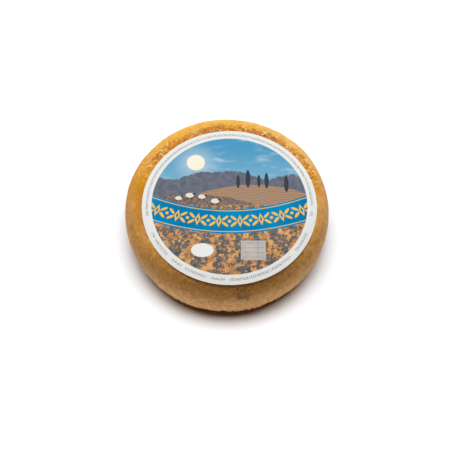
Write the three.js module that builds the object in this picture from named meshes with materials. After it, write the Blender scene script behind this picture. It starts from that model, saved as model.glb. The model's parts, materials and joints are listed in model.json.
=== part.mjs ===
// A whole wheel of aged pecorino with a round paper label stuck on its upper face.
//
// Millimetres, +Z up. The wheel stands on its flat foot at z = 0 with its axis on Z, and -Y is its
// front. The label was stuck on by hand, a little towards the front and the right.

import * as THREE from "three";
import { ImprovedNoise } from "three/addons/math/ImprovedNoise.js";
import { mergeVertices } from "three/addons/utils/BufferGeometryUtils.js";

// Driving dimensions of the wheel
const wheelDiameter = 190;
const wheelHeight = 61.5;
const girthHeight = 30.25; // the widest ring, above the foot
const faceFlatness = 12; // exponent: a higher one keeps the faces flat further out
const sideFullness = 2.4; // exponent: a higher one keeps the side upright between its shoulders

// Driving dimensions of the label
const labelDiameter = 158.5;
const labelThickness = 0.4;
const labelGap = 0.3; // clear air between the rind and the paper
const labelCentre = new THREE.Vector2(2.3, -8.5); // from the wheel's axis
const labelSlope = Math.tan(THREE.MathUtils.degToRad(15)); // the steepest that the stiff paper bends to

// Relief of the rind: how far it rises and sinks, and the width of one wave
const swell = { depth: 0.55, width: 42 }; // slow unevenness of the pressed curd
const crumb = { depth: 1.1, width: 6.5 }; // crags of the face outside the label
const grain = { depth: 0.22, width: 9 }; // faint unevenness of the side
const dent = { count: 26, depth: 1, radius: 4, seed: 11 }; // shallow pits of the side

// Spacing of the vertices
const turns = 150; // segments round the axis
const rimStep = 2.3; // across the craggy rim of the upper face
const faceStep = 5; // across the lower face
const sideStep = 4.2; // down the side
const crownStep = 14; // under the label, where nothing shows
const paperStep = 5; // across the label
const paperTurns = 72;

const girthRadius = wheelDiameter / 2;
const domeHeight = wheelHeight - girthHeight;
const shoulderRadius = 0.93 * girthRadius; // where a face hands over to the side
const rimRadius = 67; // the craggy rim starts outside this
const footRadius =
  girthRadius * (1 - (girthHeight / domeHeight) ** sideFullness) ** (1 / faceFlatness);

// Height of a face over the girth at a radius, and radius of the side at a height over the girth.
function faceAt(radius) {
  return domeHeight * (1 - (radius / girthRadius) ** faceFlatness) ** (1 / sideFullness);
}

function sideAt(height) {
  return girthRadius * (1 - Math.abs(height / domeHeight) ** sideFullness) ** (1 / faceFlatness);
}

// Evenly spaced values from one number to another, both included, about one step apart.
function stations(from, to, step) {
  const count = Math.max(1, Math.round(Math.abs(to - from) / step));
  return Array.from({ length: count + 1 }, (_, i) => from + ((to - from) * i) / count);
}

function lathe(profile, segments) {
  const made = new THREE.LatheGeometry(profile, segments).rotateX(Math.PI / 2);
  made.deleteAttribute("normal");
  made.deleteAttribute("uv");
  return mergeVertices(made, 1e-3);
}

// The wheel before its relief: a foot cut flat across the lower dome, an upright side, a full dome.
function smoothWheel() {
  const shoulder = faceAt(shoulderRadius);
  const lowerFace = stations(footRadius, shoulderRadius, faceStep);
  const side = stations(-shoulder, shoulder, sideStep).slice(1, -1);
  const rim = stations(shoulderRadius, rimRadius, rimStep);
  const crown = stations(rimRadius, 0, crownStep).slice(1);
  const profile = [
    new THREE.Vector2(0, 0),
    ...lowerFace.map((r) => new THREE.Vector2(r, girthHeight - faceAt(r))),
    ...side.map((h) => new THREE.Vector2(sideAt(h), girthHeight + h)),
    ...[...rim, ...crown].map((r) => new THREE.Vector2(r, girthHeight + faceAt(r))),
  ];
  return lathe(profile, turns);
}

const noise = new ImprovedNoise();

// Noise from -1 to 1 at a point, with waves of the given width.
function wave(point, width, shift = 0) {
  return noise.noise(point.x / width + shift, point.y / width + shift, point.z / width + shift);
}

// The dents lie all round the side and its two shoulders, placed by a seeded draw.
function dentCentres() {
  THREE.MathUtils.seededRandom(dent.seed);
  const draw = () => THREE.MathUtils.seededRandom();
  return Array.from({ length: dent.count }, () => {
    const angle = draw() * 2 * Math.PI;
    const height = (2 * draw() - 1) * 0.8 * domeHeight;
    const radius = sideAt(height);
    return new THREE.Vector3(
      radius * Math.cos(angle),
      radius * Math.sin(angle),
      girthHeight + height,
    );
  });
}

const dents = dentCentres();

// How far the rind stands out at a point of the smooth wheel. It is flat on the foot, and smooth
// under the label.
function reliefAt(point) {
  const fromLabel =
    Math.hypot(point.x - labelCentre.x, point.y - labelCentre.y) - labelDiameter / 2;
  const upper = THREE.MathUtils.smoothstep(point.z, girthHeight, wheelHeight);
  const clearOfLabel = Math.max(1 - upper, THREE.MathUtils.smoothstep(fromLabel, 0.5, 5));
  const clearOfFoot = THREE.MathUtils.smoothstep(point.z, 0.2, 6);
  const towardsFace = Math.abs(point.z - girthHeight) / domeHeight;
  const craggy = THREE.MathUtils.smoothstep(towardsFace, 0.45, 0.85);
  const crags = wave(point, crumb.width) + 0.5 * wave(point, crumb.width / 2, 40);
  const pits = dents.reduce((sum, centre) => {
    const near = 1 - point.distanceToSquared(centre) / dent.radius ** 2;
    return sum + Math.max(0, near);
  }, 0);
  return (
    clearOfLabel *
    clearOfFoot *
    (swell.depth * wave(point, swell.width, 20) +
      crumb.depth * craggy * crags +
      grain.depth * (1 - craggy) * wave(point, grain.width, 60) -
      dent.depth * pits)
  );
}

// Every vertex moves along its own normal, and then the wheel is centred on its axis again.
function ruggedWheel() {
  const wheel = smoothWheel();
  wheel.computeVertexNormals();
  const { position, normal } = wheel.attributes;
  const point = new THREE.Vector3();
  const outward = new THREE.Vector3();
  for (let i = 0; i < position.count; i++) {
    point.fromBufferAttribute(position, i);
    outward.fromBufferAttribute(normal, i);
    point.addScaledVector(outward, reliefAt(point));
    position.setXYZ(i, point.x, point.y, Math.max(0, point.z));
  }
  wheel.computeBoundingBox();
  const middle = wheel.boundingBox.getCenter(new THREE.Vector3());
  return wheel.translate(-middle.x, -middle.y, 0);
}

// The paper follows the dome out to the radius where the dome falls at the label's steepest slope,
// and from there it goes on straight, clear of the shoulder.
function leavingRadius() {
  const step = 0.1;
  let radius = rimRadius;
  while (faceAt(radius) - faceAt(radius + step) < labelSlope * step) radius += step;
  return radius;
}

const leaving = leavingRadius();

function paperAt(radius) {
  return faceAt(Math.min(radius, leaving)) - labelSlope * Math.max(0, radius - leaving);
}

// The point and the outward normal of the paper's underside over a place in plan.
function paperOver(x, y) {
  const step = 0.05;
  const radius = Math.hypot(x, y);
  const slope = (paperAt(radius + step) - paperAt(Math.abs(radius - step))) / (2 * step);
  const lean = radius > step ? -slope / radius : 0;
  return {
    point: new THREE.Vector3(x, y, girthHeight + paperAt(radius)),
    normal: new THREE.Vector3(x * lean, y * lean, 1).normalize(),
  };
}

// Walks from the label's centre over the dome until the paper's own length is used up.
function walk(direction, paperLength) {
  const strides = Math.ceil(paperLength) + 1;
  const place = labelCentre.clone();
  for (let i = 0; i < strides; i++) {
    const { normal } = paperOver(place.x, place.y);
    const climb = -(normal.x * direction.x + normal.y * direction.y) / normal.z;
    place.addScaledVector(direction, paperLength / strides / Math.hypot(1, climb));
  }
  return place;
}

// A flat disc of paper, then laid over the dome with its height kept as distance from the rind.
function drapedLabel() {
  const top = labelGap + labelThickness;
  const rings = stations(0, labelDiameter / 2, paperStep);
  const profile = [
    ...rings.map((r) => new THREE.Vector2(r, labelGap)),
    ...rings.reverse().map((r) => new THREE.Vector2(r, top)),
  ];
  const paper = lathe(profile, paperTurns);
  const { position } = paper.attributes;
  for (let i = 0; i < position.count; i++) {
    const flat = new THREE.Vector2(position.getX(i), position.getY(i));
    const place = walk(flat.clone().normalize(), flat.length());
    const { point, normal } = paperOver(place.x, place.y);
    point.addScaledVector(normal, position.getZ(i));
    position.setXYZ(i, point.x, point.y, point.z);
  }
  return paper;
}

const rind = new THREE.MeshStandardMaterial({ color: 0xc98a3f, roughness: 0.62, metalness: 0 });
const paper = new THREE.MeshStandardMaterial({ color: 0xdfe1dc, roughness: 0.45, metalness: 0 });

const wheelMesh = new THREE.Mesh(ruggedWheel(), rind);
wheelMesh.name = "wheel";

const labelMesh = new THREE.Mesh(drapedLabel(), paper);
labelMesh.name = "label";

const pecorino = new THREE.Group();
pecorino.add(wheelMesh, labelMesh);

export default pecorino;
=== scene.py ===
import json
import math
import random

import bpy
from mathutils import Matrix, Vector, noise

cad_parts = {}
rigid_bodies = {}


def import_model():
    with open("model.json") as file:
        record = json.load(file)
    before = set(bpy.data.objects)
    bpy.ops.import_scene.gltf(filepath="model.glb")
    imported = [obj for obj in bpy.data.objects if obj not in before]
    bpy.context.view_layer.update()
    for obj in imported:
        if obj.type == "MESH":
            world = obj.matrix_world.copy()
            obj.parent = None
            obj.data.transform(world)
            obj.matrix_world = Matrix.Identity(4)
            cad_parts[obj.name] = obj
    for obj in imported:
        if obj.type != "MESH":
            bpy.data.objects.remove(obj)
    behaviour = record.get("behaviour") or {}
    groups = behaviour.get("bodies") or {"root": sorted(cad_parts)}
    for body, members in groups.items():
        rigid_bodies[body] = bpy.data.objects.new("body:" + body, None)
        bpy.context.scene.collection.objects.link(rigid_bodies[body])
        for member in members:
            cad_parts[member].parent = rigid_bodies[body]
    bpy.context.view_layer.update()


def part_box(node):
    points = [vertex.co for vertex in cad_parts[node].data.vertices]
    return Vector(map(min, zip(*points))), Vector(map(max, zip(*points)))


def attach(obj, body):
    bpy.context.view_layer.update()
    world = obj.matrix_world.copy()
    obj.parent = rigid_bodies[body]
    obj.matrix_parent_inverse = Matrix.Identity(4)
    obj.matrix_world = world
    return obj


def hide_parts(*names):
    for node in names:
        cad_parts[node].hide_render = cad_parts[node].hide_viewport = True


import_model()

mm = 0.001


def deselectAll():
    for thing in bpy.context.scene.objects:
        thing.select_set(False)


def startPiece(name):  # the primitive just added becomes the piece, open in edit mode with nothing picked
    piece = bpy.context.object
    piece.name = name
    piece.data.name = name
    bpy.ops.object.transform_apply(location=True)
    bpy.ops.object.mode_set(mode="EDIT")
    bpy.ops.mesh.select_mode(type="FACE")
    bpy.ops.mesh.select_all(action="DESELECT")
    return piece


def pickFaces(piece, test):  # picks the faces whose centre and normal pass the test
    bpy.ops.object.mode_set(mode="OBJECT")
    for face in piece.data.polygons:
        face.select = test(face.center, face.normal)
    bpy.ops.object.mode_set(mode="EDIT")


def pullRings(rings):  # extrudes the picked round face through rings of (radius, height)
    for (radius, height), (nextRadius, nextHeight) in zip(rings, rings[1:]):
        bpy.ops.mesh.extrude_region_move(
            TRANSFORM_OT_translate={"value": (0, 0, nextHeight - height)}
        )
        grow = nextRadius / radius
        bpy.ops.transform.resize(value=(grow, grow, 1), center_override=(0, 0, 0))


def applyModifier(piece, kind, **settings):
    modifier = piece.modifiers.new(kind.title(), kind)
    for key, value in settings.items():
        setattr(modifier, key, value)
    bpy.ops.object.modifier_apply(modifier=modifier.name)


def addGroup(piece, name, weightAt):
    group = piece.vertex_groups.new(name=name)
    for vertex in piece.data.vertices:
        weight = weightAt(vertex.co)
        if weight > 0.001:
            group.add([vertex.index], weight, "REPLACE")


def dropGroups(piece):
    for group in list(piece.vertex_groups):
        piece.vertex_groups.remove(group)


def ruffle(piece, group, kind, relief, middle=0.5, **settings):  # displaces by a noise of (depth, width)
    depth, width = relief
    texture = bpy.data.textures.new(kind.title(), kind)
    texture.noise_scale = width
    for key, value in settings.items():
        setattr(texture, key, value)
    applyModifier(
        piece, "DISPLACE", texture=texture, strength=depth, mid_level=middle, vertex_group=group
    )


def smoothStep(value, low, high):
    share = min(max((value - low) / (high - low), 0), 1)
    return share * share * (3 - 2 * share)


def spread(low, high, count):  # count even steps that end at high, low left out
    return [low + (high - low) * (i + 1) / count for i in range(count)]


class Wire:  # a shader socket that adds, subtracts, multiplies and divides like a number
    def __init__(self, tree, socket=None):
        self.tree = tree
        self.socket = socket

    def node(self, kind, settings=None, inputs=None, output=0):  # any node, its settings made first
        made = self.tree.nodes.new(kind)
        for name, value in (settings or {}).items():
            setattr(made, name, value)
        for name, value in (inputs or {}).items():
            if isinstance(value, Wire):
                self.tree.links.new(value.socket, made.inputs[name])
            else:
                made.inputs[name].default_value = value
        return Wire(self.tree, made.outputs[output])

    def out(self, output):  # another output of the same node
        return Wire(self.tree, self.socket.node.outputs[output])

    def split(self):  # the three numbers of a vector
        x = self.node("ShaderNodeSeparateXYZ", None, {0: self})
        return x, x.out("Y"), x.out("Z")

    def into(self, socket):
        self.tree.links.new(self.socket, socket)

    def math(self, operation, *values):
        return self.node("ShaderNodeMath", {"operation": operation}, dict(enumerate(values)))

    def __add__(self, other):
        return self.math("ADD", self, other)

    def __sub__(self, other):
        return self.math("SUBTRACT", self, other)

    def __rsub__(self, other):
        return self.math("SUBTRACT", other, self)

    def __mul__(self, other):
        return self.math("MULTIPLY", self, other)

    def __truediv__(self, other):
        return self.math("DIVIDE", self, other)

    def __abs__(self):
        return self.math("ABSOLUTE", self)

    __radd__ = __add__
    __rmul__ = __mul__

    def root(self):
        return self.math("SQRT", self)

    def sine(self):
        return self.math("SINE", self)

    def log(self):
        return self.math("LOGARITHM", self, math.e)

    def larger(self, other):
        return self.math("MAXIMUM", self, other)

    def hypot(self, other):
        return (self * self + other * other).root()

    def angle(self, along):  # 0 where this is 0, a quarter turn where along is 0
        return self.math("ARCTAN2", self, along)

    def tile(self, period):  # -period/2 to period/2, again and again
        return (self.math("FRACT", self / period) - 0.5) * period

    def step(self, low, high):  # 0 at low, 1 at high, smooth between; it falls where low is above high
        if low > high:
            return 1 - self.step(high, low)
        return self.node(
            "ShaderNodeMapRange",
            {"interpolation_type": "SMOOTHSTEP"},
            {"Value": self, "From Min": low, "From Max": high},
        )

    def paint(self, under, over):  # this mask lays the colour over on the colour under
        colours = [c if isinstance(c, Wire) else (*c, 1) for c in (under, over)]
        return self.node(
            "ShaderNodeMix",
            {"data_type": "RGBA", "clamp_factor": True},
            {0: self, 6: colours[0], 7: colours[1]},
            output=2,
        )

    def shift(self, offset):
        return self.node(
            "ShaderNodeVectorMath", {"operation": "ADD"}, {0: self, 1: (offset, offset, offset)}
        )

    def stretch(self, x, y, z):
        return self.node("ShaderNodeVectorMath", {"operation": "MULTIPLY"}, {0: self, 1: (x, y, z)})

    def away(self, place):  # distance from a place
        return self.node("ShaderNodeVectorMath", {"operation": "DISTANCE"}, {0: self, 1: place}, 1)

    def clouds(self, size, detail=3, roughness=0.5, offset=0):  # soft noise about 0.5
        return self.node(
            "ShaderNodeTexNoise",
            None,
            {"Vector": self.shift(offset), "Scale": 1 / size, "Detail": detail, "Roughness": roughness},
        )

    def cells(self, size, feature="F1", output="Distance", offset=0):
        return self.node(
            "ShaderNodeTexVoronoi",
            {"feature": feature},
            {"Vector": self.shift(offset), "Scale": 1 / size},
            output,
        )

    def bump(self, strength, distance):  # this height as a bumpy normal
        return self.node(
            "ShaderNodeBump", None, {"Strength": strength, "Distance": distance, "Height": self}
        )


def newMaterial(name, **surface):  # the material, its principled shader and a wire to start from
    material = bpy.data.materials.new(name)
    material.use_nodes = True
    tree = material.node_tree
    shader = tree.nodes["Principled BSDF"]
    for socket, value in surface.items():
        shader.inputs[socket.replace("_", " ")].default_value = value
    return material, shader, Wire(tree)


wheelLow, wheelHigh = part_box("wheel")
labelLow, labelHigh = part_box("label")

wheel = {
    "radius": (wheelHigh.x - wheelLow.x) / 2,
    "height": wheelHigh.z,
    "girthShare": 0.492,  # height of the widest ring, as a share of the wheel's
    "faceFlatness": 12,
    "sideFullness": 2.4,
    "segments": 84,
    "lowerRings": 5,
    "sideRings": 6,
    "rimRings": 5,
    "girthTurn": math.radians(88),  # turns are counted from the top of the axis, along the profile
    "shoulderTurn": math.radians(28),
    "rimTurn": math.radians(7),  # the visible rim of the upper face starts here
    "crownTurn": math.radians(0.1),
    "footInset": 9 * mm,
    "clearLabel": (-0.6 * mm, 1.6 * mm),  # the relief starts between these distances from the label
    "clearFoot": (0.3 * mm, 6 * mm),  # and between these heights
    "bandEdge": (10 * mm, 6 * mm),  # the crumbly band ends between these distances from the label
    "bandStart": (5 * mm, 30 * mm),  # and begins between these distances behind the wheel's middle
    "bandTop": (0.8, 0.9),  # it lies above these shares of the dome's height
    "bandRagged": (4 * mm, 9 * mm),  # depth and width of its ragged edge
    "swell": (1.2 * mm, 38 * mm),  # depth and width of each kind of relief
    "lumps": (0.6 * mm, 9 * mm),
    "curds": (1.1 * mm, 4 * mm),
    "crumbs": (0.7 * mm, 2.1 * mm),
    "cracks": (0.8 * mm, 6 * mm),
    "grain": (0.35 * mm, 2 * mm),
    "teeth": (-3.2 * mm, 3.1 * mm),
    "teethTop": (18 * mm, 12 * mm),  # the ragged rind low on the side fades out between these heights
    "pitDepth": 0.9 * mm,
    "pitCount": 70,
    "pitHeights": (-0.75, 0.92),  # from the girth, as shares of the dome's height
    "pitReach": (0.8, 1.8),  # millimetres
    "pitStrength": (0.2, 0.8),
    "seed": 7,
    "marks": [  # angle round the axis, height, reach and strength of marks that stand out
        (-84.0, 53 * mm, 2.0 * mm, 0.9),
        (-84.3, 49 * mm, 1.6 * mm, 0.4),
        (-81.1, 42 * mm, 1.7 * mm, 0.7),
        (-83.2, 42 * mm, 1.9 * mm, 0.75),
        (-78.8, 39 * mm, 2.1 * mm, 1.0),
        (-99.4, 35 * mm, 1.7 * mm, 0.9),
        (-96.4, 35 * mm, 1.3 * mm, 0.5),
        (-108.6, 25 * mm, 1.5 * mm, 0.6),
        (-39.6, 36 * mm, 1.6 * mm, 0.6),
        (-43.8, 33 * mm, 1.5 * mm, 0.5),
        (176.0, 57 * mm, 1.3 * mm, 0.6),
    ],
    "stainPlace": (-81.5, 46 * mm),  # angle and height of the brown stain on the front
    "stainReach": (11 * mm, 2 * mm),  # it starts at the first and is full at the second
    "leftShadePlace": (-78 * mm, -13 * mm, 55 * mm),  # painted shade: a darker patch of the left shoulder, next to the label
    "clumpPlace": (-21 * mm, 69 * mm, 61 * mm),  # redder crumbs at the back
    "frontShade": (-40 * mm, -90 * mm),  # the front's colours begin at the first and are full at the second
    "footShade": (14.5 * mm, 7 * mm),  # painted shade round the foot: heights, in the same way
    "deep": ((0.76, 0.375, 0.12), (0.57, 0.235, 0.026)),  # the two tones of the mottle, low and high
    "pale": ((0.97, 0.585, 0.28), (0.69, 0.36, 0.11)),
    "sunnyDeep": (0.62, 0.31, 0.035),
    "sunnyPale": (0.72, 0.43, 0.12),
    "warm": (0.52, 0.21, 0.03),
    "dusty": (0.50, 0.34, 0.18),
    "gold": ((0.56, 0.235, 0.006), (0.70, 0.36, 0.03)),  # the back left, nearer and further
    "cream": (0.80, 0.51, 0.21),  # the back right
    "freckle": (0.50, 0.19, 0.03),
    "flankFillLight": (0.66, 0.43, 0.25),  # painted fill light on the outermost left and right
    "under": (0.46, 0.22, 0.07),  # painted shade under the shoulder, front left and front right
    "browningAndPaintedShade": (0.40, 0.16, 0.034),  # along the front of the label: painted shade of the paper's edge, with a browner rind
    # painted shade on the left shoulder
    "leftPaintedShade": (0.40, 0.155, 0.016),
    "stain": (0.22, 0.09, 0.04),
    "crumb": ((0.54, 0.175, 0.006), (0.80, 0.35, 0.018)),
    "paleCrumb": (0.86, 0.59, 0.24),
    "brightCrumb": (0.86, 0.45, 0.035),
    "creamyCrumb": (0.80, 0.49, 0.15),
    # painted shade of the crevices, also the colour of the dark clots
    "creviceShadeAndClot": (0.26, 0.075, 0.010),
    # painted shade of small holes
    "holeShade": (0.15, 0.04, 0.008),
    "clump": (0.40, 0.12, 0.008),
    # painted shade round the foot
    "foot": (0.15, 0.038, 0.007),
    "speckle": (0.36, 0.17, 0.05),
    "flour": (0.92, 0.62, 0.32),
    # painted shade in the pits
    "pitShade": (0.08, 0.035, 0.025),
}
girthHeight = wheel["girthShare"] * wheel["height"]
domeHeight = wheel["height"] - girthHeight


def faceAt(radius):  # height of a face above or below the girth
    inner = 1 - (radius / wheel["radius"]) ** wheel["faceFlatness"]
    return domeHeight * inner ** (1 / wheel["sideFullness"])


def sideAt(height):  # radius of the side at a height above or below the girth
    inner = 1 - abs(height / domeHeight) ** wheel["sideFullness"]
    return wheel["radius"] * inner ** (1 / wheel["faceFlatness"])


def onSide(angle, height):  # the point of the side at an angle in degrees and a height over the foot
    radius = sideAt(height - girthHeight)
    turn = math.radians(angle)
    return Vector((radius * math.cos(turn), radius * math.sin(turn), height))


def wheelRings():  # radius and height of every ring, from the foot to the crown
    footTurn = math.pi - math.acos((girthHeight / domeHeight) ** (wheel["sideFullness"] / 2))
    turns = [footTurn]
    turns += spread(footTurn, wheel["girthTurn"], wheel["lowerRings"])
    turns += spread(wheel["girthTurn"], wheel["shoulderTurn"], wheel["sideRings"])
    turns += spread(wheel["shoulderTurn"], wheel["rimTurn"], wheel["rimRings"])
    turns += [wheel["crownTurn"]]
    rings = []
    for turn in turns:
        radius = wheel["radius"] * math.sin(turn) ** (2 / wheel["faceFlatness"])
        rise = domeHeight * abs(math.cos(turn)) ** (2 / wheel["sideFullness"])
        rings.append((radius, girthHeight + math.copysign(rise, math.cos(turn))))
    return rings


def makeWheel():
    deselectAll()
    rings = wheelRings()
    foot, low = rings[0][0], rings[1][1]
    bpy.ops.mesh.primitive_cylinder_add(
        vertices=wheel["segments"], radius=foot, depth=low, location=(0, 0, low / 2)
    )
    piece = startPiece("wheelRind")
    pickFaces(piece, lambda centre, normal: normal.z > 0.9)
    grow = rings[1][0] / foot
    bpy.ops.transform.resize(value=(grow, grow, 1), center_override=(0, 0, 0))
    pullRings(rings[1:])
    pickFaces(piece, lambda centre, normal: normal.z < -0.9 and centre.z < mm)
    bpy.ops.mesh.inset(thickness=wheel["footInset"])
    bpy.ops.object.mode_set(mode="OBJECT")
    applyModifier(piece, "SUBSURF", levels=3, render_levels=3)
    bpy.ops.object.shade_smooth()
    return piece


def fromLabel(point):  # distance outside the label's edge, seen from above
    middle = (labelLow + labelHigh) / 2
    reach = (labelHigh - labelLow) / 2
    across = math.hypot((point.x - middle.x) / reach.x, (point.y - middle.y) / reach.y)
    return (across - 1) * reach.x


def clearOf(point):  # 0 on the foot and under the label, 1 elsewhere
    upper = point.z > girthHeight
    beside = smoothStep(fromLabel(point), *wheel["clearLabel"]) if upper else 1
    return beside * smoothStep(point.z, *wheel["clearFoot"])


def crumblyAt(point):  # the rough band of the upper face, round the back of the label
    depth, width = wheel["bandRagged"]
    ragged = depth * noise.noise(point / width)
    height = (point.z - girthHeight) / domeHeight
    band = smoothStep(fromLabel(point) + ragged, *wheel["bandEdge"])
    back = smoothStep(point.y + 0.12 * point.x + 3 * ragged, *wheel["bandStart"])
    return smoothStep(height, *wheel["bandTop"]) * band * back


def pitPlaces():  # middle, reach and strength of every pit
    draw = random.Random(wheel["seed"])
    places = [(onSide(angle, height), reach, depth) for angle, height, reach, depth in wheel["marks"]]
    for _ in range(wheel["pitCount"]):
        angle = draw.uniform(0, 360)
        height = girthHeight + draw.uniform(*wheel["pitHeights"]) * domeHeight
        reach = draw.uniform(*wheel["pitReach"]) * mm
        places.append((onSide(angle, height), reach, draw.uniform(*wheel["pitStrength"])))
    return places


def ruffleWheel(piece):
    smooth = [v.co.copy() for v in piece.data.vertices]
    outward = [v.normal.copy() for v in piece.data.vertices]
    pits = pitPlaces()

    def pitAt(point):
        deepest = 0
        for centre, reach, depth in pits:
            if abs(point.z - centre.z) < reach and abs(point.x - centre.x) < reach:
                near = 1 - (point - centre).length / reach
                deepest = max(deepest, depth * smoothStep(near, 0, 1))
        return deepest

    addGroup(piece, "open", clearOf)
    addGroup(piece, "crumbly", lambda point: clearOf(point) * crumblyAt(point))
    addGroup(piece, "plain", lambda point: clearOf(point) * (1 - crumblyAt(point)))
    addGroup(piece, "low", lambda point: clearOf(point) * smoothStep(point.z, *wheel["teethTop"]))
    addGroup(piece, "pits", lambda point: clearOf(point) * pitAt(point))
    ruffle(piece, "open", "CLOUDS", wheel["swell"])
    ruffle(piece, "plain", "CLOUDS", wheel["lumps"], noise_depth=2)
    ruffle(piece, "crumbly", "VORONOI", wheel["curds"])
    ruffle(piece, "crumbly", "VORONOI", wheel["crumbs"])
    ruffle(piece, "crumbly", "CLOUDS", wheel["cracks"], noise_type="HARD_NOISE", noise_depth=3)
    ruffle(piece, "plain", "CLOUDS", wheel["grain"], noise_depth=2)
    ruffle(piece, "low", "VORONOI", wheel["teeth"])
    applyModifier(piece, "DISPLACE", strength=-wheel["pitDepth"], mid_level=0, vertex_group="pits")
    dropGroups(piece)
    relief = piece.data.attributes.new("relief", "FLOAT", "POINT")
    pitted = piece.data.attributes.new("pitted", "FLOAT", "POINT")
    crumbly = piece.data.attributes.new("crumbly", "FLOAT", "POINT")
    for vertex, rest, normal in zip(piece.data.vertices, smooth, outward):
        relief.data[vertex.index].value = (vertex.co - rest).dot(normal) / mm
        pitted.data[vertex.index].value = pitAt(rest)
        crumbly.data[vertex.index].value = crumblyAt(rest)


def pressedRind(place, fromEdge, front, golden, creamy):  # the rind's colour outside the crumbly band, with painted fill light on the flanks and painted shade under the shoulder, along the label's front and on the left
    x, y, z = place.split()
    patches = place.clouds(26 * mm, detail=3)
    mottle = place.clouds(4.6 * mm, detail=5, roughness=0.7, offset=3).step(0.36, 0.64)
    high = (z - x * 0.02 + front * (6.5 * mm) + patches * (14 * mm)).step(36 * mm, 64 * mm)
    sunny = (y + patches * (40 * mm)).step(20 * mm, 80 * mm) * z.step(46 * mm, 57 * mm)
    deep = sunny.paint(high.paint(*wheel["deep"]), wheel["sunnyDeep"])
    pale = sunny.paint(high.paint(*wheel["pale"]), wheel["sunnyPale"])
    colour = mottle.paint(deep, pale)
    warm = place.clouds(9 * mm, detail=5, roughness=0.65, offset=5).step(0.54, 0.72)
    colour = (warm * (0.5 + front * 0.2)).paint(colour, wheel["warm"])
    dusty = place.clouds(13 * mm, detail=4, offset=15).step(0.55, 0.75)
    colour = (dusty * 0.35).paint(colour, wheel["dusty"])
    gold = y.step(30 * mm, 75 * mm).paint(*wheel["gold"])
    colour = golden.paint(colour, gold)
    colour = (creamy * 0.3).paint(colour, wheel["cream"])
    freckles = place.clouds(2.2 * mm, detail=3, roughness=0.6, offset=31).step(0.58, 0.70)
    colour = (freckles * (0.25 + front * 0.45)).paint(colour, wheel["freckle"])
    # painted fill light: the outermost left and right are made lighter
    flankFillLightMask = abs(x).step(82 * mm, 93 * mm) * abs(y + 8 * mm).step(30 * mm, 10 * mm)
    colour = (flankFillLightMask * 0.25).paint(colour, wheel["flankFillLight"])
    # painted shade under the shoulder at the front left and front right
    under = z.step(48 * mm, 37 * mm) * abs(x).step(52 * mm, 70 * mm) * y.step(-34 * mm, -46 * mm)
    colour = (under * 0.3).paint(colour, wheel["under"])
    # along the front of the label, painted shade of the paper's edge with a browner rind
    browningAndPaintedShade = fromEdge.step(10 * mm, 0) * y.step(-62 * mm, -90 * mm)
    colour = (browningAndPaintedShade * 0.45).paint(colour, wheel["browningAndPaintedShade"])
    # painted shade on the left shoulder, next to the label's edge
    leftPaintedShade = place.away(wheel["leftShadePlace"]).step(36 * mm, 10 * mm) * fromEdge.step(9 * mm, 2 * mm)
    colour = (leftPaintedShade * 0.6).paint(colour, wheel["leftPaintedShade"])
    fromStain = place.away(tuple(onSide(*wheel["stainPlace"])))
    blots = place.clouds(3.6 * mm, detail=4, roughness=0.7).step(0.42, 0.56)
    stain = fromStain.step(*wheel["stainReach"]) * (0.2 + blots * 0.65)
    return stain.paint(colour, wheel["stain"])


def crumblyRind(place, fromEdge, relief, gaps, creamy):  # grains of curd, with painted shade in the gaps and hollows, beside the label and in small holes, and dark clots
    y = place.split()[1]
    grains = place.cells(2.2 * mm, output="Color")
    tone = grains.node("ShaderNodeSeparateColor", None, {0: grains})
    colour = tone.paint(*wheel["crumb"])
    colour = tone.out("Green").step(0.79, 0.88).paint(colour, wheel["paleCrumb"])
    colour = tone.out("Blue").step(0.90, 0.94).paint(colour, wheel["brightCrumb"])
    clots = place.clouds(5 * mm, detail=3, offset=21).step(0.62, 0.72)
    # painted shade in the hollows, between the grains and next to the label, with dark clots
    labelEdgeShade = fromEdge.step(7 * mm, 1 * mm) * y.step(0, 80 * mm) * 0.25
    shadeAndClots = relief.step(0, -0.9) * 0.55 + gaps * 0.35 + clots * 0.45 + labelEdgeShade
    colour = shadeAndClots.paint(colour, wheel["creviceShadeAndClot"])
    # small dark spots, painted shade of holes
    holeShadeSpots = place.cells(3.2 * mm, offset=41).step(0.30, 0.18)
    colour = (holeShadeSpots * 0.8).paint(colour, wheel["holeShade"])
    clump = place.away(wheel["clumpPlace"]).step(17 * mm, 6 * mm)
    colour = (clump * 0.4).paint(colour, wheel["clump"])
    return (creamy * 0.2).paint(colour, wheel["creamyCrumb"])


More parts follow.
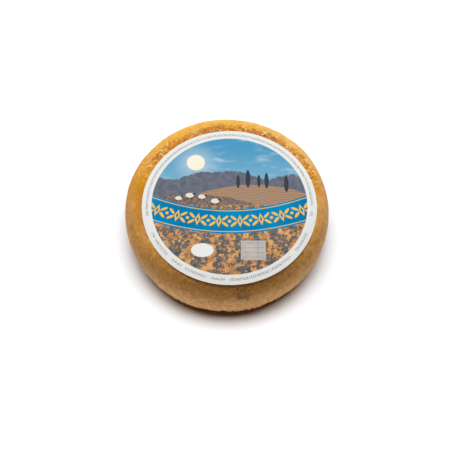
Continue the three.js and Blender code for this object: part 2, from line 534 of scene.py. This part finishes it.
def rindMaterial():
    material, shader, start = newMaterial("rind", Specular_IOR_Level=0.05, Coat_Roughness=0.3)
    place = start.node("ShaderNodeTexCoord", output="Object")
    x, y, z = place.split()
    relief = start.node("ShaderNodeAttribute", {"attribute_name": "relief"}, output="Fac")
    pitted = start.node("ShaderNodeAttribute", {"attribute_name": "pitted"}, output="Fac")
    crumbly = start.node("ShaderNodeAttribute", {"attribute_name": "crumbly"}, output="Fac")
    middle = (labelLow + labelHigh) / 2
    fromEdge = (x - middle.x).hypot(y - middle.y) - label["diameter"] / 2
    gaps = place.cells(2.2 * mm, feature="DISTANCE_TO_EDGE").step(0.16, 0.02)  # between the grains

    # Where round the wheel the rind differs
    front = y.step(*wheel["frontShade"])
    creamy = x.step(25 * mm, 65 * mm) * y.step(15 * mm, 45 * mm)
    leftward = x.step(-65 * mm, -82 * mm) * y.step(30 * mm, 14 * mm)
    golden = y.step(-18 * mm, 14 * mm) * x.step(35 * mm, 5 * mm)
    golden = golden * (0.3 + (fromEdge.step(11 * mm, 4 * mm) + leftward) * 0.45)

    pressed = pressedRind(place, fromEdge, front, golden, creamy)
    colour = crumbly.paint(pressed, crumblyRind(place, fromEdge, relief, gaps, creamy))
    # painted shade low on the side, near the foot
    colour = (z.step(*wheel["footShade"]) * 0.9).paint(colour, wheel["foot"])
    speckle = place.clouds(1.4 * mm, detail=2, offset=8)
    colour = (speckle.step(0.56, 0.70) * (0.4 + front * 0.25)).paint(colour, wheel["speckle"])
    flour = speckle.step(0.42, 0.28) * (0.35 + front * 0.25 - crumbly * 0.25 - golden * 0.3)
    colour = flour.paint(colour, wheel["flour"])
    # the pits are painted dark, as painted shade
    colour = (pitted * 0.9).paint(colour, wheel["pitShade"])
    colour.into(shader.inputs["Base Color"])

    rough = 0.66 - crumbly * 0.16 - speckle * 0.1
    rough.into(shader.inputs["Roughness"])
    (crumbly * 0.12).into(shader.inputs["Coat Weight"])
    fine = place.clouds(1.4 * mm, offset=2) * 0.6 + place.clouds(0.6 * mm, detail=1) * 0.4
    height = fine - gaps * crumbly * 0.5
    height.bump(0.45, 0.6 * mm).into(shader.inputs["Normal"])
    return material


wheelPiece = makeWheel()
print("wheel modelled:", len(wheelPiece.data.polygons), "faces")

label = {
    "diameter": 158.5 * mm,
    "thickness": 0.2 * mm,
    "lift": 0.15 * mm,  # air under the paper
    "steepest": math.tan(math.radians(15)),  # the stiff paper bends no further and goes on straight
    "segments": 96,
    "insets": 12,
    "formerRings": 22,
    "formerOverhang": 15 * mm,
    "dropFrom": 5 * mm,  # over the wheel, before it is laid on the former
    "waviness": (0.3 * mm, 24 * mm),
    "wavyShare": 0.25,  # of the label's radius, from its edge
    "printRadius": 70.5,  # this and the print's other sizes are in millimetres on the flat paper
    "sunPlace": (-31, 44),
    "cypresses": (  # place across, foot and height
        (8, 17, 13), (17, 18, 17), (27, 18, 12), (34, 17, 15), (52, 13, 16),
    ),
    "flock": ((-46, 6, 3.2), (-36, 9, 3.8), (-25, 7.5, 3.4), (-13, 3, 3.8)),  # places and sizes
    "rowsMeet": 24,  # height of the point that the rows run to
    "rowScale": 75,
    "rowCount": 26,  # to a whole turn round that point
    "ribbonMiddle": 170,  # of the circle that the ribbon is a piece of
    "ribbonRadius": 188,
    "garlandPeriod": 19,
    "leafTilt": (0.766, 0.643),  # cosine and sine
    "panelPlace": (21, -47),
    "ovalPlace": (-24, -47),
    "ovalRadii": (10, 6.8),
    "strokeRadius": 74.6,  # of the ring of strokes
    "strokeScale": 75.5,  # its length to a radian
    "ring": (0.74, 0.755, 0.735),  # bare paper round the print
    # painted light: the near part of the ring made lighter
    "nearRingPaintedLight": (0.79, 0.805, 0.785),
    "sky": ((0.17, 0.39, 0.56), (0.07, 0.30, 0.50)),  # low and high
    "cloud": (0.50, 0.63, 0.70),
    "sun": (0.86, 0.82, 0.66),
    "slate": (0.085, 0.098, 0.115),
    "farHills": ((0.15, 0.17, 0.22), (0.11, 0.12, 0.15)),
    "pasture": ((0.30, 0.19, 0.13), (0.42, 0.27, 0.17)),
    "cypress": (0.045, 0.05, 0.062),
    "fleece": (0.72, 0.68, 0.58),
    "soil": (0.07, 0.085, 0.10),
    "leaf": (0.17, 0.16, 0.14),
    "tuft": ((0.46, 0.215, 0.08), (0.72, 0.375, 0.14)),
    "ribbon": ((0.002, 0.17, 0.36), (0.002, 0.24, 0.47)),
    "gold": (0.77, 0.48, 0.12),
    "panel": (0.50, 0.49, 0.47),
    "ink": (0.16, 0.16, 0.16),
}


def leavingRadius():  # where the dome grows steeper than the paper can follow
    radius = wheel["radius"] / 2
    step = 0.1 * mm
    while faceAt(radius) - faceAt(radius + step) < label["steepest"] * step:
        radius += step
    return radius


def makeFormer():  # the surface that the paper takes: the dome, and a cone outside it
    deselectAll()
    leaving = leavingRadius()
    rings = []
    for radius in spread(wheel["radius"] + label["formerOverhang"], 2 * mm, label["formerRings"]):
        over = max(0, radius - leaving)
        rings.append((radius, girthHeight + faceAt(radius - over) - label["steepest"] * over))
    bpy.ops.mesh.primitive_circle_add(
        vertices=label["segments"], radius=rings[0][0], fill_type="NGON", location=(0, 0, rings[0][1])
    )
    piece = startPiece("paperFormer")
    pickFaces(piece, lambda centre, normal: True)
    pullRings(rings)
    bpy.ops.object.mode_set(mode="OBJECT")
    applyModifier(piece, "SUBSURF", levels=2, render_levels=2)
    return piece


def makeLabel(former):  # a flat disc with its print's map, dropped on the former
    deselectAll()
    bpy.ops.mesh.primitive_circle_add(
        vertices=label["segments"], radius=label["diameter"] / 2, fill_type="NGON",
        location=(0, 0, wheel["height"] + label["dropFrom"]),
    )
    piece = startPiece("paperLabel")
    pickFaces(piece, lambda centre, normal: True)
    step = label["diameter"] / 2 / (label["insets"] + 1)
    for _ in range(label["insets"]):
        bpy.ops.mesh.inset(thickness=step)
    bpy.ops.object.mode_set(mode="OBJECT")
    applyModifier(piece, "SUBSURF", levels=2, render_levels=2)
    printMap = piece.data.uv_layers.new(name="print")
    for loop in piece.data.loops:
        at = piece.data.vertices[loop.vertex_index].co
        printMap.data[loop.index].uv = (at.x / label["diameter"] + 0.5, at.y / label["diameter"] + 0.5)
    middle = (labelLow + labelHigh) / 2
    size = labelHigh - labelLow
    bpy.ops.transform.resize(
        value=(size.x / label["diameter"], size.y / label["diameter"], 1), center_override=(0, 0, 0)
    )
    bpy.ops.transform.translate(value=(middle.x, middle.y, 0))
    bpy.ops.object.transform_apply(location=True, rotation=True, scale=True)
    applyModifier(
        piece, "SHRINKWRAP", target=former, wrap_method="PROJECT", use_project_z=True,
        use_negative_direction=True, use_positive_direction=False, offset=label["lift"],
    )
    return piece


def finishPaper(piece):  # the paper waves a little round its edge, and gets its thickness
    wavy = label["wavyShare"] * (label["diameter"] / 2)
    addGroup(piece, "edge", lambda point: smoothStep(-fromLabel(point), wavy, 0))
    ruffle(piece, "edge", "CLOUDS", label["waviness"], middle=0.35)
    applyModifier(piece, "SOLIDIFY", thickness=label["thickness"], offset=1, use_even_offset=True)
    bpy.ops.object.shade_smooth_by_angle(angle=math.radians(40))
    dropGroups(piece)


def oval(u, v, middle, radii):  # 1 inside an upright ellipse, 0 outside
    across = (u - middle[0]) / radii[0]
    along = (v - middle[1]) / radii[1]
    return (across * across + along * along).step(1.06, 0.94)


def printHills(u, v, flat):  # the sky with thin cloud and a sun, and the far hills
    sky = v.step(20, 66).paint(*label["sky"])
    veil = flat.stretch(1 / 22, 1 / 7, 1).clouds(1, detail=4, roughness=0.55, offset=4)
    sky = (veil.step(0.5, 0.78) * 0.6).paint(sky, label["cloud"])
    fromSun = (u - label["sunPlace"][0]).hypot(v - label["sunPlace"][1])
    sky = (fromSun.step(26, 4) * 0.55).paint(sky, label["cloud"])
    sky = fromSun.step(8.6, 8.1).paint(sky, label["sun"])
    crowns = flat.clouds(5, detail=4, roughness=0.7)
    ridge = (u / 15 + 2.1).sine() * 4 + (u / 6.5).sine() * 1.5 + crowns * 8
    far = crowns.step(0.35, 0.65).paint(*label["farHills"])
    return (ridge + 27 - v).step(-0.4, 0.4).paint(sky, far)


def printPasture(u, v, flat, land):  # a ploughed slope with cypresses, and a meadow with a flock
    brow = 19 - (u - 22) * (u - 22) / 260 + flat.clouds(9, detail=2) * 2
    furrow = ((v * 3 + u * 0.4 + flat.clouds(14) * 12) * 0.9).sine().step(-0.6, 1)
    field = furrow.paint(*label["pasture"])
    land = (brow - v).step(-0.3, 0.3).paint(land, field)
    for middle, foot, height in label["cypresses"]:
        tree = oval(u, v, (middle, foot + height * 0.5), (height * 0.13, height * 0.55))
        land = tree.paint(land, label["cypress"])
    near = 9 - (u + 34) * (u + 34) / 300 + flat.clouds(7, offset=3) * 2
    meadow = flat.clouds(3, detail=4, roughness=0.7).step(0.35, 0.65)
    meadow = meadow.paint(label["slate"], label["pasture"][0])
    land = (near - v).step(-0.3, 0.3).paint(land, meadow)
    for middle, foot, size in label["flock"]:
        legs = oval(abs(u - middle), v, (size * 0.5, foot - size * 0.75), (size * 0.16, size * 0.5))
        head = oval(u, v, (middle + size * 1.05, foot + size * 0.35), (size * 0.36, size * 0.3))
        land = legs.paint(land, label["cypress"])
        land = oval(u, v, (middle, foot), (size, size * 0.66)).paint(land, label["fleece"])
        land = head.paint(land, label["cypress"])
    return land


def printRows(u, v, flat, land):  # rows of tufts that run to a vanishing point over the ribbon
    depth = label["rowsMeet"] - v
    turn = u.angle(depth)
    depthways = u.hypot(depth).log()
    scale = label["rowScale"]
    rows = u.node("ShaderNodeCombineXYZ", None, {0: turn * scale, 1: depthways * scale})
    lane = (turn * label["rowCount"] + flat.clouds(12) * 2).sine() * 0.05
    leafy = rows.clouds(4, detail=5, roughness=0.75)
    flowers = (leafy + lane - rows.cells(6, offset=2) * 0.12).step(0.42, 0.48)
    bright = rows.clouds(5, detail=4, offset=6).step(0.38, 0.62)
    petals = bright.paint(*label["tuft"])
    ground = rows.clouds(1.6, offset=4).step(0.35, 0.65).paint(label["soil"], label["leaf"])
    field = flowers.paint(ground, petals)
    edge = -6 + flat.clouds(3, detail=3, roughness=0.7, offset=9) * 9
    return (edge - v).step(-0.3, 0.3).paint(land, field)


def garland(along, arc):  # lozenges, leaves and berries by turns
    t, d = along.tile(label["garlandPeriod"]), abs(arc)
    lozenge = (abs(t) / 2.6 + d / 6.2).step(1.08, 0.92)
    core = (abs(t) / 1.1 + d / 3).step(1.1, 0.9)
    out, up = abs(t) - 5.6, d - 3.1
    cosine, sine = label["leafTilt"]
    leaf = oval(out * cosine + up * sine, up * cosine - out * sine, (0, 0), (3.6, 1.25))
    berry = oval(abs(t), d, (9.5, 0), (1.5, 1.5))
    return (lozenge - core).larger(leaf.larger(berry))


def printRibbon(u, v, flat, land):  # a curved ribbon with thin rules and a garland that has a shadow
    drop = label["ribbonMiddle"] - v
    arc = u.hypot(drop) - label["ribbonRadius"]
    along = u.angle(drop) * label["ribbonRadius"]
    tone = flat.clouds(30, detail=2).step(0.3, 0.7).paint(*label["ribbon"])
    land = abs(arc).step(12.7, 12.3).paint(land, tone)
    land = abs(abs(arc) - 10.6).step(0.5, 0.2).paint(land, label["gold"])
    land = (garland(along - 0.5, arc - 0.6) * 0.8).paint(land, label["slate"])
    return garland(along, arc).paint(land, label["gold"])


def printPanel(u, v, land):  # a blank panel with plain rules, and a blank oval
    aside, above = u - label["panelPlace"][0], v - label["panelPlace"][1]
    panel = abs(aside).step(11.2, 10.8) * abs(above).step(9.7, 9.3)
    land = (panel * 0.82).paint(land, label["panel"])
    rules = abs(above.tile(4.6)).step(0.4, 0.15) + abs(aside - 4).step(0.35, 0.15)
    land = (panel * rules * abs(aside).step(10, 9.6) * 0.45).paint(land, label["ink"])
    return oval(u, v, label["ovalPlace"], label["ovalRadii"]).paint(land, label["ring"])


def printBorder(u, v, radius):  # bare paper, lighter towards the near edge as painted light, with a ring of short grey strokes in groups
    around = u.angle(v) * label["strokeScale"]
    strokes = u.node("ShaderNodeCombineXYZ", None, {0: around, 1: radius * 0.8})
    dash = strokes.clouds(0.9, detail=1).step(0.44, 0.52) * abs(around.tile(1.9)).step(0.85, 0.65)
    groups = strokes.stretch(1, 0, 0).clouds(9, detail=0, offset=5).step(0.26, 0.31)
    groups = groups * abs(abs(around) - 140).step(8, 10)
    row = abs(radius - label["strokeRadius"]).step(1.35, 1.05)
    # painted light: the paper is lighter towards the near edge
    bare = v.step(-20, -75).paint(label["ring"], label["nearRingPaintedLight"])
    return (dash * groups * row * 0.7).paint(bare, label["ink"])


def paperMaterial():
    material, shader, start = newMaterial("labelPaper", Roughness=0.5, Specular_IOR_Level=0)
    uv = start.node("ShaderNodeUVMap", {"uv_map": "print"})
    size = label["diameter"] / mm
    flat = start.node(
        "ShaderNodeVectorMath", {"operation": "MULTIPLY_ADD"},
        {0: uv, 1: (size, size, 0), 2: (-size / 2, -size / 2, 0)},
    )
    u, v = flat.split()[:2]
    radius = u.hypot(v)
    land = printHills(u, v, flat)
    land = printPasture(u, v, flat, land)
    land = printRows(u, v, flat, land)
    land = printRibbon(u, v, flat, land)
    land = printPanel(u, v, land)
    border = printBorder(u, v, radius)
    edge = label["printRadius"]
    colour = radius.step(edge + 0.3, edge - 0.3).paint(border, land)
    colour.into(shader.inputs["Base Color"])
    fibre = flat.clouds(1.2, detail=4, roughness=0.7)
    fibre.bump(0.25, 0.1 * mm).into(shader.inputs["Normal"])
    return material


paperFormer = makeFormer()
labelPiece = makeLabel(paperFormer)
finishPaper(labelPiece)
bpy.data.objects.remove(paperFormer)
print("label laid:", len(labelPiece.data.polygons), "faces")

deselectAll()
wheelPiece.select_set(True)
bpy.context.view_layer.objects.active = wheelPiece
ruffleWheel(wheelPiece)
wheelPiece.data.materials.append(rindMaterial())
labelPiece.data.materials.append(paperMaterial())
print("rind ruffled, materials made")

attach(wheelPiece, "root")
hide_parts("wheel")
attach(labelPiece, "root")
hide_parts("label")

studio = {
    "floorSize": 40,
    "floorColour": (0.93, 0.93, 0.93, 1),
    "worldColour": (1, 0.3, 0.06, 1),  # a trace of light that warms the shadow
    "worldStrength": 0.02,
    "cheeseLight": {  # the suns' directions and widths are in degrees, their strengths in W per m2
        "elevation": 56, "azimuth": 92.5, "spread": 56, "strength": 4.2, "colour": (1, 1, 1),
    },
    "floorLightRight": {
        "elevation": 76, "azimuth": 32, "spread": 30, "strength": 1.78, "colour": (1, 0.975, 0.93),
    },
    "floorLightLeft": {
        "elevation": 76, "azimuth": 148, "spread": 30, "strength": 1.78, "colour": (1, 0.975, 0.93),
    },
    "floorLightBack": {
        "elevation": 78, "azimuth": 90, "spread": 22, "strength": 0.55, "colour": (0.15, 0.5, 1),
    },
    "elevation": 60.7,  # of the camera over the wheel's middle
    "distance": 0.931,
    "focalPixels": 994.5,
    "framePixels": 452,
    "wheelPixel": (226.9, 212.8),  # where the wheel's middle shows
}


def makeFloor():
    deselectAll()
    bpy.ops.mesh.primitive_plane_add(size=studio["floorSize"], location=(0, 0, -0.1 * mm))
    floor = bpy.context.object
    floor.name = "studioFloor"
    material = newMaterial(
        "floorPaper", Base_Color=studio["floorColour"], Roughness=0.9, Specular_IOR_Level=0
    )[0]
    floor.data.materials.append(material)
    return floor


def addSun(name, lit):  # a wide soft sun that lights only the things it is given
    sun = studio[name]
    up, around = math.radians(sun["elevation"]), math.radians(sun["azimuth"])
    place = Vector((math.cos(up) * math.cos(around), math.cos(up) * math.sin(around), math.sin(up)))
    bpy.ops.object.light_add(type="SUN", location=place)
    light = bpy.context.object
    light.name = name
    light.rotation_euler = place.to_track_quat("Z", "Y").to_euler()
    light.data.angle = math.radians(sun["spread"])
    light.data.energy = sun["strength"]
    light.data.color = sun["colour"]
    receivers = bpy.data.collections.new(name + "Receivers")
    for thing in lit:
        receivers.objects.link(thing)
    light.light_linking.receiver_collection = receivers


def makeLights(floor):
    world = bpy.data.worlds.new("studio")
    bpy.context.scene.world = world
    world.use_nodes = True
    backdrop = world.node_tree.nodes["Background"]
    backdrop.inputs["Color"].default_value = studio["worldColour"]
    backdrop.inputs["Strength"].default_value = studio["worldStrength"]
    addSun("cheeseLight", [wheelPiece, labelPiece])
    for name in ("floorLightRight", "floorLightLeft", "floorLightBack"):
        addSun(name, [floor])


def makeCamera():
    up = math.radians(studio["elevation"])
    half = studio["framePixels"] / 2
    below = math.atan((half - studio["wheelPixel"][1]) / studio["focalPixels"])
    aside = (half - studio["wheelPixel"][0]) / studio["focalPixels"] * studio["distance"]
    place = (
        aside,
        -studio["distance"] * math.cos(up),
        girthHeight + studio["distance"] * math.sin(up),
    )
    bpy.ops.object.camera_add(location=place, rotation=(math.pi / 2 - up - below, 0, 0))
    camera = bpy.context.object
    camera.name = "photoCamera"
    camera.data.sensor_width = 36
    camera.data.lens = camera.data.sensor_width * studio["focalPixels"] / studio["framePixels"]
    camera.data.clip_start = 0.01
    camera.data.clip_end = 100
    bpy.context.scene.camera = camera


makeLights(makeFloor())
makeCamera()
bpy.context.scene.view_settings.view_transform = "Standard"
print("studio set")
